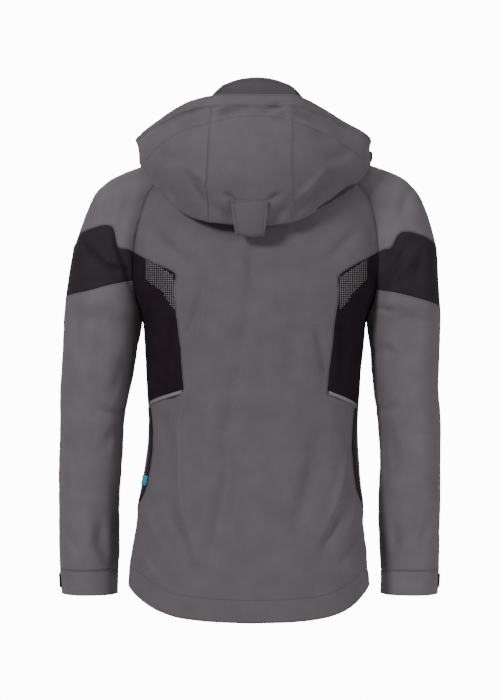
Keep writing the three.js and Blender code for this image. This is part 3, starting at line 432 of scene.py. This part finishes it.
def thick_mesh(sheet):
    """The cloth with its thickness: the outer face, the lining inside and the edge."""
    count = len(sheet.points)
    inner = sheet.points - sheet.normals * THICKNESS[sheet.kind]
    faces = list(sheet.faces)
    faces += [tuple(i + count for i in reversed(face)) for face in sheet.faces]
    faces += [(b, a, a + count, b + count) for a, b in sheet.next_edge.items()]
    data = bpy.data.meshes.new(sheet.name + "_cloth")
    data.from_pydata(np.concatenate([sheet.points, inner]).tolist(), [], faces)
    outside = len(sheet.faces)
    lining = [0] * outside + [1] * outside + [0] * len(sheet.next_edge)
    data.polygons.foreach_set("material_index", lining)
    data.polygons.foreach_set("use_smooth", [True] * len(faces))
    return data


def place_piece(name, data, materials, replaces=()):
    piece = bpy.data.objects.new(name, data)
    for material in materials:
        data.materials.append(material)
    bpy.context.scene.collection.objects.link(piece)
    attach(piece, "garment")
    if replaces:
        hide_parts(*replaces)
    return piece


def place_copies(name, points, shape, material):
    """A piece made of many small forms: the points of all of them, and the faces of one."""
    size = 1 + max(i for face in shape for i in face)
    starts = range(0, len(points), size)
    faces = [tuple(start + i for i in face) for start in starts for face in shape]
    data = bpy.data.meshes.new(name)
    data.from_pydata([tuple(point) for point in points], [], faces)
    place_piece(name, data, [material])


# Materials. What all cloths share: patches, flecks, how far apart the colours lie, and threads
PATCHES = {"Scale": 28.0, "Detail": 4.0}
FLECKS = {"Scale": 900.0, "Detail": 2.0}
SPREAD = {"From Min": 0.12, "From Max": 0.4}
WAVES = {"Distortion": 1.5, "Detail": 1.0, "Detail Scale": 2.0}

# What hard pieces share: the grain's detail, its dark and light, how it changes the roughness, and
# its bumps
HARD = {"detail": 3.0, "dark": 0.8, "light": 1.3, "smoother": 0.08, "rougher": 0.1,
        "strength": 0.2, "relief": 0.0001}


def add_node(material, kind, inputs=(), **settings):
    node = material.node_tree.nodes.new(kind)
    for key, value in settings.items():
        setattr(node, key, value)
    for key, value in inputs:
        if isinstance(value, bpy.types.NodeSocket):
            material.node_tree.links.new(value, node.inputs[key])
        else:
            node.inputs[key].default_value = value
    return node


def new_material(name, roughness, sheen=0.0, metallic=0.0, specular=0.5):
    material = bpy.data.materials.new(name)
    material.use_nodes = True
    shader = material.node_tree.nodes["Principled BSDF"]
    shader.inputs["Roughness"].default_value = roughness
    shader.inputs["Sheen Weight"].default_value = sheen
    shader.inputs["Sheen Roughness"].default_value = 0.5
    shader.inputs["Metallic"].default_value = metallic
    shader.inputs["Specular IOR Level"].default_value = specular
    return material, shader


def set_colours(material, shader, factor, first, second):
    """The base colour goes from the first to the second."""
    ramp = add_node(material, "ShaderNodeValToRGB", [("Fac", factor)])
    ramp.color_ramp.elements[0].color = (*first, 1)
    ramp.color_ramp.elements[1].color = (*second, 1)
    material.node_tree.links.new(ramp.outputs["Color"], shader.inputs["Base Color"])


def set_bumps(material, shader, height, strength, relief):
    bumps = add_node(material, "ShaderNodeBump",
                     [("Strength", strength), ("Distance", relief), ("Height", height)])
    material.node_tree.links.new(bumps.outputs["Normal"], shader.inputs["Normal"])


def cloth_material(name, colour, other, roughness, sheen, weave, bump, relief=0.0003, specular=0.5):
    """Woven or knitted cloth: two close colours in soft patches, and threads both ways as bumps."""
    material, shader = new_material(name, roughness, sheen, specular=specular)
    places = add_node(material, "ShaderNodeTexCoord").outputs["Object"]
    patches = add_node(material, "ShaderNodeTexNoise", [("Vector", places), *PATCHES.items()])
    fleck = add_node(material, "ShaderNodeTexNoise", [("Vector", places), *FLECKS.items()])
    both = add_node(material, "ShaderNodeMath",
                    [(0, patches.outputs["Fac"]), (1, fleck.outputs["Fac"])], operation="MULTIPLY")
    spread = add_node(material, "ShaderNodeMapRange", [("Value", both.outputs[0]), *SPREAD.items()])
    set_colours(material, shader, spread.outputs[0], colour, other)
    rows = []
    for direction in ("Z", "DIAGONAL"):
        wave = add_node(material, "ShaderNodeTexWave",
                        [("Vector", places), ("Scale", weave), *WAVES.items()],
                        wave_type="BANDS", bands_direction=direction)
        rows.append(wave.outputs["Fac"])
    threads = add_node(material, "ShaderNodeMath", [(0, rows[0]), (1, rows[1])], operation="ADD")
    grain = add_node(material, "ShaderNodeMath",
                     [(0, threads.outputs[0]), (1, fleck.outputs["Fac"])], operation="ADD")
    set_bumps(material, shader, grain.outputs[0], bump, relief)
    return material


def hard_material(name, colour, roughness, metallic, scale):
    """Moulded plastic or painted metal: a fine grain, and roughness that varies a little."""
    material, shader = new_material(name, roughness, 0.0, metallic)
    places = add_node(material, "ShaderNodeTexCoord").outputs["Object"]
    grain = add_node(material, "ShaderNodeTexNoise",
                     [("Vector", places), ("Scale", scale), ("Detail", HARD["detail"])]).outputs["Fac"]
    dark, light = ([HARD[key] * c for c in colour] for key in ("dark", "light"))
    set_colours(material, shader, grain, dark, light)
    rough = add_node(material, "ShaderNodeMapRange",
                     [("Value", grain), ("To Min", roughness - HARD["smoother"]),
                      ("To Max", roughness + HARD["rougher"])])
    material.node_tree.links.new(rough.outputs[0], shader.inputs["Roughness"])
    set_bumps(material, shader, grain, HARD["strength"], HARD["relief"])
    return material


# Softshell cloths: two close colours, roughness and sheen. The last two are the grey with painted light on
# the sleeves and painted shade on the collar
SOFTSHELL = {"weave": 340, "bump": 0.35}
GREY = cloth_material("grey_softshell", (0.116, 0.101, 0.112), (0.144, 0.125, 0.138), 0.82, 0.12,
                      **SOFTSHELL)
BLACK = cloth_material("black_softshell", (0.019, 0.013, 0.017), (0.03, 0.022, 0.027), 0.8, 0.05,
                       specular=0.25, **SOFTSHELL)
INSERT = cloth_material("insert_softshell", (0.014, 0.008, 0.012), (0.022, 0.014, 0.019), 0.85, 0.0,
                        specular=0.15, **SOFTSHELL)
# The grey softshell made lighter for the sleeves: painted light, standing in for the brighter light on the
# arms
SLEEVE_PAINTED_LIGHT = cloth_material("sleeve_softshell", (0.137, 0.121, 0.133), (0.169, 0.149, 0.163), 0.82, 0.12,
                        **SOFTSHELL)
# The grey softshell made darker for the collar: painted shade where the collar lies in shadow above the
# hood
COLLAR_PAINTED_SHADE = cloth_material("collar_softshell", (0.09, 0.077, 0.087), (0.112, 0.096, 0.108), 0.82, 0.12,
                        **SOFTSHELL)

# Lining, trim, thread and print: the same, then how close and how high the threads are
LINING = cloth_material("fleece_lining", (0.03, 0.028, 0.03), (0.055, 0.052, 0.055), 0.95, 0.3, 120, 0.8,
                        relief=0.0008)
PIPING = cloth_material("piping_tape", (0.19, 0.175, 0.185), (0.24, 0.225, 0.235), 0.6, 0.1, 500, 0.25)
LABEL = cloth_material("cyan_label", (0.012, 0.33, 0.62), (0.02, 0.4, 0.72), 0.6, 0.1, 420, 0.5)
TAPE = cloth_material("zip_tape_weave", (0.012, 0.011, 0.012), (0.022, 0.02, 0.022), 0.7, 0.1, 400, 0.6)
THREAD = cloth_material("grey_thread", (0.065, 0.057, 0.063), (0.09, 0.079, 0.087), 0.7, 0.1, 900, 0.4)
DARK_THREAD = cloth_material("black_thread", (0.012, 0.009, 0.011), (0.02, 0.016, 0.02), 0.7, 0.2, 900, 0.4)
PRINT = cloth_material("grey_print", (0.3, 0.29, 0.3), (0.38, 0.37, 0.38), 0.45, 0.0, 600, 0.2)

# Hard pieces: colour, roughness, metal and how fine the grain is
PLASTIC = hard_material("black_plastic", (0.014, 0.013, 0.014), 0.42, 0.0, 800)
METAL = hard_material("black_metal", (0.03, 0.028, 0.03), 0.36, 0.6, 1200)
TRIM_MATERIALS = {"black_cloth": BLACK, "piping": PIPING, "label": LABEL, "zip_tape": TAPE}


# The cloth

def group_of(name):
    if name.startswith(("sleeve", "cuff")):
        return "sleeve"
    if name == "hood_strap":
        return "strap"
    if name.startswith("hood"):
        return "hood"
    if name == "collar":
        return "collar"
    return "body"


def cloth_of(name):
    """The cloth that a piece is cut from, with the grey made lighter on the sleeves as painted light and
    darker on the collar as painted shade.
    """
    if "upper" in name or "insert" in name:
        return INSERT
    if name in BLACK_PIECES:
        return BLACK
    if name == "collar":
        return COLLAR_PAINTED_SHADE
    return SLEEVE_PAINTED_LIGHT if group_of(name) == "sleeve" else GREY


def declare(sheet):
    """Gathers the names of the pieces that a sheet is sewn to, with the collar for the hood's pieces."""
    sewn = sorted(set().union(*sheet.partners.values()))
    if sheet.group == "hood":
        sewn.append("collar")


def make_cloth():
    names = GREY_PIECES + BLACK_PIECES
    sheets = {name: Sheet(name, group_of(name)) for name in names}
    join_seams(list(sheets.values()))
    for sheet in sheets.values():
        dress(sheet)
        data = thick_mesh(sheet)
        materials = [cloth_of(sheet.name), LINING]
        piece = place_piece(sheet.name + "_cloth", data, materials, [sheet.name])
        declare(sheet)
    return sheets


def make_trim():
    trim = {}
    for name, slot in TRIM_PIECES.items():
        sheet = Sheet(name, "trim")
        data = thick_mesh(sheet)
        piece = place_piece(name + "_trim", data, [TRIM_MATERIALS[slot]] * 2, [name])
        declare(sheet)
        trim[name] = sheet
    return trim


# Stitches

class Skin:
    """The outer faces of some sheets, to lay things on."""

    def __init__(self, sheets):
        points = []
        faces = []
        for sheet in sheets:
            faces += [tuple(i + len(points) for i in face) for face in sheet.faces]
            points += sheet.points.tolist()
        self.tree = BVHTree.FromPolygons(points, faces)

    def settle(self, place):
        point, normal, _, _ = self.tree.find_nearest(Vector(place))
        return np.array(point), np.array(normal)

    def seen(self, across, down):
        """The place that shows at a pixel of the view from behind."""
        eye = Vector((CAMERA["x"], CAMERA["y"], CAMERA["z"]))
        x = CAMERA["x"] - (across - CAMERA["width"] / 2) * CAMERA["pixel"]
        z = CAMERA["z"] - (down - CAMERA["height"] / 2) * CAMERA["pixel"]
        ray = (Vector((x, 0, z)) - eye).normalized()
        point, normal, _, _ = self.tree.ray_cast(eye, ray)
        return (np.array(point), np.array(normal)) if point else None


def resample(line, pitch):
    """Places a pitch apart along a line."""
    line = np.array(line, float)
    lengths = np.concatenate([[0], np.cumsum(np.linalg.norm(np.diff(line, axis=0), axis=1))])
    count = max(int(lengths[-1] / pitch), 1)
    at = np.linspace(0, lengths[-1], count + 1)
    return np.stack([np.interp(at, lengths, line[:, k]) for k in range(line.shape[1])], axis=1)


# Faces of a stitch: its points are one end, two rings of four and the other end
STITCH_FACES = [
    face for k, after in ((0, 1), (1, 2), (2, 3), (3, 0)) for face in (
        (0, 1 + after, 1 + k),
        (1 + k, 1 + after, 5 + after, 5 + k),
        (5 + k, 5 + after, 9),
    )
]


def stitch_points(start, end, normal):
    way = end - start
    side = np.cross(way, normal)
    side /= max(np.linalg.norm(side), TINY["length"])
    radius = STITCH["radius"]
    points = [start - normal * radius]
    for share in STITCH["body"]:
        middle = start + way * share + normal * radius * STITCH["raised"]
        points += [middle + side * radius, middle + normal * radius,
                   middle - side * radius, middle - normal * radius]
    points.append(end - normal * radius)
    return points


def row_points(line, skin):
    """Points of all stitches along a line that lies on a skin."""
    pitch = STITCH["length"] + STITCH["gap"]
    places = resample(line, pitch)
    points = []
    for a, b in zip(places[:-1], places[1:]):
        start, normal = skin.settle(a)
        end, _ = skin.settle(a + (b - a) * STITCH["length"] / pitch)
        if np.linalg.norm(end - start) >= TINY["stitch"]:
            points += stitch_points(start, end, normal)
    return points


def make_stitches(name, lines, skin, material):
    points = [point for line in lines for point in row_points(line, skin)]
    place_copies(name, points, STITCH_FACES, material)


def along_edge(sheet, offset, partners=None, where=None):
    """Lines beside a sheet's edge, as far in as offset. partners are the names that the edge is sewn
    to, or nothing for its free edge."""
    if partners is None:
        wanted = {i for i in sheet.edge_ids if not sheet.partners[i]}
    else:
        wanted = {i for i in sheet.edge_ids if any(name in partners for name in sheet.partners[i])}
    if where:
        wanted = {i for i in wanted if where(sheet.points[i])}
    lines = []
    for run in sheet.chains(wanted):
        edge = sheet.points[run]
        way = np.gradient(edge, axis=0)
        inward = np.cross(sheet.normals[run], way)
        inward /= np.maximum(np.linalg.norm(inward, axis=1), TINY["length"])[:, None]
        lines.append(edge + inward * offset)
    return lines


# How far in from a seam or an edge each row of stitches runs
ROW = {"seam": 0.0018, "second": 0.0055, "brim": 0.0016, "zip": 0.006, "front_hem": 0.022,
       "back_hem": 0.036, "edge": 0.004, "strap": 0.0044}

# Free edges beside the zip lie nearer the middle than this, hems below, the collar's top above
LIMIT = {"zip": 0.02, "front_hem": -0.7, "back_hem": -0.6, "collar": 0.03}


def is_beside_zip(place):
    return abs(place[0]) < LIMIT["zip"]


def is_front_hem(place):
    return place[2] < LIMIT["front_hem"]


def is_back_hem(place):
    return place[2] < LIMIT["back_hem"]


def is_collar_top(place):
    return place[2] > LIMIT["collar"]


def side_rows(side):
    """Grey rows on one side: the piece, the row, and what is sewn to it there or which free edge."""
    top = f"sleeve_back_top_{side}"
    band = f"sleeve_band_{side}"
    lower = f"sleeve_back_lower_{side}"
    sleeve_front = f"sleeve_front_{side}"
    front = f"front_{side}"
    cuff = f"cuff_{side}"
    hood_side = f"hood_side_{side}"
    return [
        ("back_panel", "seam", [top], None),
        (front, "seam", [sleeve_front], None),
        ("back_panel", "second", [top], None),
        (front, "second", [sleeve_front], None),
        ("back_panel", "seam", [f"side_upper_{side}"], None),
        ("back_panel", "seam", [front], None),
        (front, "seam", [f"front_insert_{side}"], None),
        (front, "zip", None, is_beside_zip),
        (front, "front_hem", None, is_front_hem),
        (lower, "seam", [band], None),
        (top, "seam", [band], None),
        (lower, "seam", [cuff], None),
        (sleeve_front, "seam", [cuff], None),
        (sleeve_front, "seam", [top, band, lower], None),
        (cuff, "edge", None, None),
        (hood_side, "seam", ["hood_centre"], None),
        (hood_side, "brim", ["hood_brim"], None),
    ]


MIDDLE_ROWS = [
    ("hood_centre", "brim", ["hood_brim"], None),
    ("hood_brim", "brim", None, None),
    ("back_panel", "back_hem", None, is_back_hem),
    ("collar", "edge", None, is_collar_top),
    ("hood_strap", "strap", None, None),
]


def seam_lines(sheets):
    """Every row of stitches beside a seam or an edge."""
    grey = []
    for name, row, partners, where in side_rows("left") + side_rows("right") + MIDDLE_ROWS:
        grey += along_edge(sheets[name], ROW[row], partners, where)
    black = []
    for side in ("left", "right"):
        black += along_edge(sheets[f"side_upper_{side}"], ROW["seam"], [f"sleeve_band_{side}"])
    return grey, black


# The casing's row of stitches across the hood, as seen from behind
CASING = [
    (145, 161), (156.5, 148), (168, 139), (180, 131.5), (192, 127.5), (205, 124), (219.5, 120.5),
    (236, 116.6), (258, 115.8), (279, 117.4), (289, 120.5), (306, 125.5), (321, 132), (336, 140),
    (350, 149), (362, 158),
]
CASING_PITCH = 3


def make_all_stitches(sheets):
    skin = Skin(list(sheets.values()))
    grey, black = seam_lines(sheets)
    hood = Skin([sheets[name] for name in ("hood_centre", "hood_side_left", "hood_side_right")])
    seen = [hood.seen(*place) for place in resample(CASING, CASING_PITCH)]
    grey.append([hit[0] for hit in seen if hit is not None])
    make_stitches("grey_stitches", grey, skin, THREAD)
    make_stitches("black_stitches", black, skin, DARK_THREAD)


# The printed dots on the black inserts, inside outlines seen from behind
DOT_OUTLINES = {
    "left": [(144.5, 256.5), (174, 275.5), (174.8, 311), (168.4, 302), (162, 291.6), (150.6, 284),
             (145.4, 279)],
    "right": [(368, 258.5), (339.5, 277.5), (338.6, 310), (347, 304), (352.5, 293), (360.5, 285),
              (366.6, 278.6)],
}
DOT = {"pitch": 1.85, "radius": 0.00085, "lift": 0.00008, "sides": 6}


def is_within(outline, x, y):
    """Whether a place lies in an outline."""
    crossings = 0
    for (ax, ay), (bx, by) in zip(outline, outline[1:] + outline[:1]):
        if (ay > y) != (by > y) and x < ax + (y - ay) * (bx - ax) / (by - ay):
            crossings += 1
    return crossings % 2 == 1


def grid_inside(outline):
    """Places on an even grid inside an outline."""
    low = np.min(outline, axis=0)
    high = np.max(outline, axis=0)
    across = np.arange(low[0], high[0], DOT["pitch"])
    down = np.arange(low[1], high[1], DOT["pitch"])
    return [(x, y) for x in across for y in down if is_within(outline, x, y)]


def dot_points(centre, normal):
    right = np.cross((0, 0, 1), normal)
    right /= np.linalg.norm(right)
    up = np.cross(normal, right)
    points = []
    for k in range(DOT["sides"]):
        turn = 2 * math.pi * k / DOT["sides"]
        ring = right * math.cos(turn) + up * math.sin(turn)
        points.append(centre + normal * DOT["lift"] + ring * DOT["radius"])
    return points


def make_dots(sheets):
    for side, outline in DOT_OUTLINES.items():
        skin = Skin([sheets[f"side_upper_{side}"]])
        hits = [skin.seen(x, y) for x, y in grid_inside(outline)]
        points = [point for hit in hits if hit is not None for point in dot_points(*hit)]
        place_copies(f"dot_print_{side}", points, [tuple(range(DOT["sides"]))], PRINT)


# The zip

# Teeth: their size, how far aside of the tape's edge they lie, and how high
TOOTH = {"pitch": 0.0021, "length": 0.0026, "width": 0.0012, "height": 0.0009, "aside": 0.0004,
         "raised": 0.4}
TAPE_EDGE = 0.0015
BOX_FACES = [(0, 1, 3, 2), (4, 6, 7, 5), (0, 4, 5, 1), (2, 3, 7, 6), (0, 2, 6, 4), (1, 5, 7, 3)]
BEVEL = {"width": 0.0003, "segments": 2}


def tooth_points(place, way, sign):
    """The corners of one tooth, beside the tape's edge."""
    out = np.cross((1, 0, 0), way)
    out *= -np.sign(out[1]) or 1
    aside = np.array([sign * TOOTH["aside"], 0, 0])
    centre = place + aside + out * TOOTH["height"] * TOOTH["raised"]
    points = []
    for a, b, c in product((-1, 1), repeat=3):
        corner = centre + np.array([a * TOOTH["length"] / 2, 0, 0])
        points.append(corner + out * b * (TOOTH["height"] / 2) + way * c * (TOOTH["width"] / 2))
    return points


def make_teeth(trim):
    """Coil teeth down the middle of the front, on both tapes."""
    points = []
    for sign, side in ((1, "left"), (-1, "right")):
        tape = trim[f"zip_tape_{side}"]
        edge = {i for i in tape.edge_ids if abs(tape.points[i][0]) < TAPE_EDGE}
        for run in tape.chains(edge):
            line = resample(tape.points[run], TOOTH["pitch"])
            ways = np.gradient(line, axis=0)
            ways /= np.linalg.norm(ways, axis=1)[:, None]
            for place, way in zip(line, ways):
                points += tooth_points(place, way, sign)
    place_copies("zip_teeth", points, BOX_FACES, PLASTIC)


def finish_hard_nodes():
    """Slider, pull and cord lock keep their solids, with rounded edges and a material."""
    for name, material in (("zip_slider", METAL), ("zip_pull", METAL), ("hood_cord_lock", PLASTIC)):
        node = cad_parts[name]
        node.data.materials.clear()
        node.data.materials.append(material)
        bevel = node.modifiers.new("rounded", "BEVEL")
        bevel.width = BEVEL["width"]
        bevel.segments = BEVEL["segments"]
        bevel.limit_method = "ANGLE"


# Camera, light and floor

def make_camera():
    data = bpy.data.cameras.new("camera")
    data.sensor_fit = "VERTICAL"
    data.sensor_width = CAMERA["sensor"]
    data.sensor_height = CAMERA["sensor"]
    reach = CAMERA["height"] * CAMERA["pixel"] / 2
    data.lens = CAMERA["sensor"] / 2 * CAMERA["y"] / reach
    camera = bpy.data.objects.new("camera", data)
    camera.location = (CAMERA["x"], CAMERA["y"], CAMERA["z"])
    camera.rotation_euler = (math.pi / 2, 0, math.pi)
    bpy.context.scene.collection.objects.link(camera)
    bpy.context.scene.camera = camera


# Lamps: place, size and power
LAMPS = [
    ((1.9, 2.2, 1.1), 0.6, 62),
    ((-2.2, 1.8, -0.1), 1.2, 28),
    ((0.0, 0.5, 1.9), 1.0, 7),
    ((0.6, -2.6, 0.9), 1.8, 24),
]
LAMP_TARGET = (0, 0, -0.35)
SKY = {"seen": 13.0, "light": 0.18}
FLOOR = {"z": -1.1, "radius": 1.0, "sides": 96, "shade": 0.93, "roughness": 0.9}


def make_lamps():
    target = Vector(LAMP_TARGET)
    for i, (place, size, power) in enumerate(LAMPS):
        data = bpy.data.lights.new(f"lamp_{i}", "AREA")
        data.shape = "SQUARE"
        data.size = size
        data.energy = power
        lamp = bpy.data.objects.new(f"lamp_{i}", data)
        lamp.location = place
        lamp.rotation_euler = (target - Vector(place)).to_track_quat("-Z", "Y").to_euler()
        bpy.context.scene.collection.objects.link(lamp)
    make_sky()


def make_sky():
    """A plain white surround that lights the jacket only softly."""
    world = bpy.data.worlds.new("world")
    world.use_nodes = True
    tree = world.node_tree
    background = tree.nodes["Background"]
    background.inputs["Color"].default_value = (1, 1, 1, 1)
    path = tree.nodes.new("ShaderNodeLightPath")
    strength = tree.nodes.new("ShaderNodeMapRange")
    strength.inputs["To Min"].default_value = SKY["light"]
    strength.inputs["To Max"].default_value = SKY["seen"]
    tree.links.new(path.outputs["Is Camera Ray"], strength.inputs["Value"])
    tree.links.new(strength.outputs["Result"], background.inputs["Strength"])
    bpy.context.scene.world = world


def make_floor():
    """A round pale floor below the jacket."""
    material, shader = new_material("floor", FLOOR["roughness"])
    shader.inputs["Base Color"].default_value = (*[FLOOR["shade"]] * 3, 1)
    mesh = bmesh.new()
    bmesh.ops.create_circle(mesh, cap_ends=True, segments=FLOOR["sides"], radius=FLOOR["radius"])
    bmesh.ops.translate(mesh, verts=mesh.verts, vec=(0, 0, FLOOR["z"]))
    data = bpy.data.meshes.new("floor")
    mesh.to_mesh(data)
    mesh.free()
    data.materials.append(material)
    floor = bpy.data.objects.new("floor", data)
    bpy.context.scene.collection.objects.link(floor)


make_camera()
make_lamps()
make_floor()
CLOTH_SHEETS = make_cloth()
TRIM_SHEETS = make_trim()
make_all_stitches(CLOTH_SHEETS)
make_dots(CLOTH_SHEETS)
make_teeth(TRIM_SHEETS)
finish_hard_nodes()
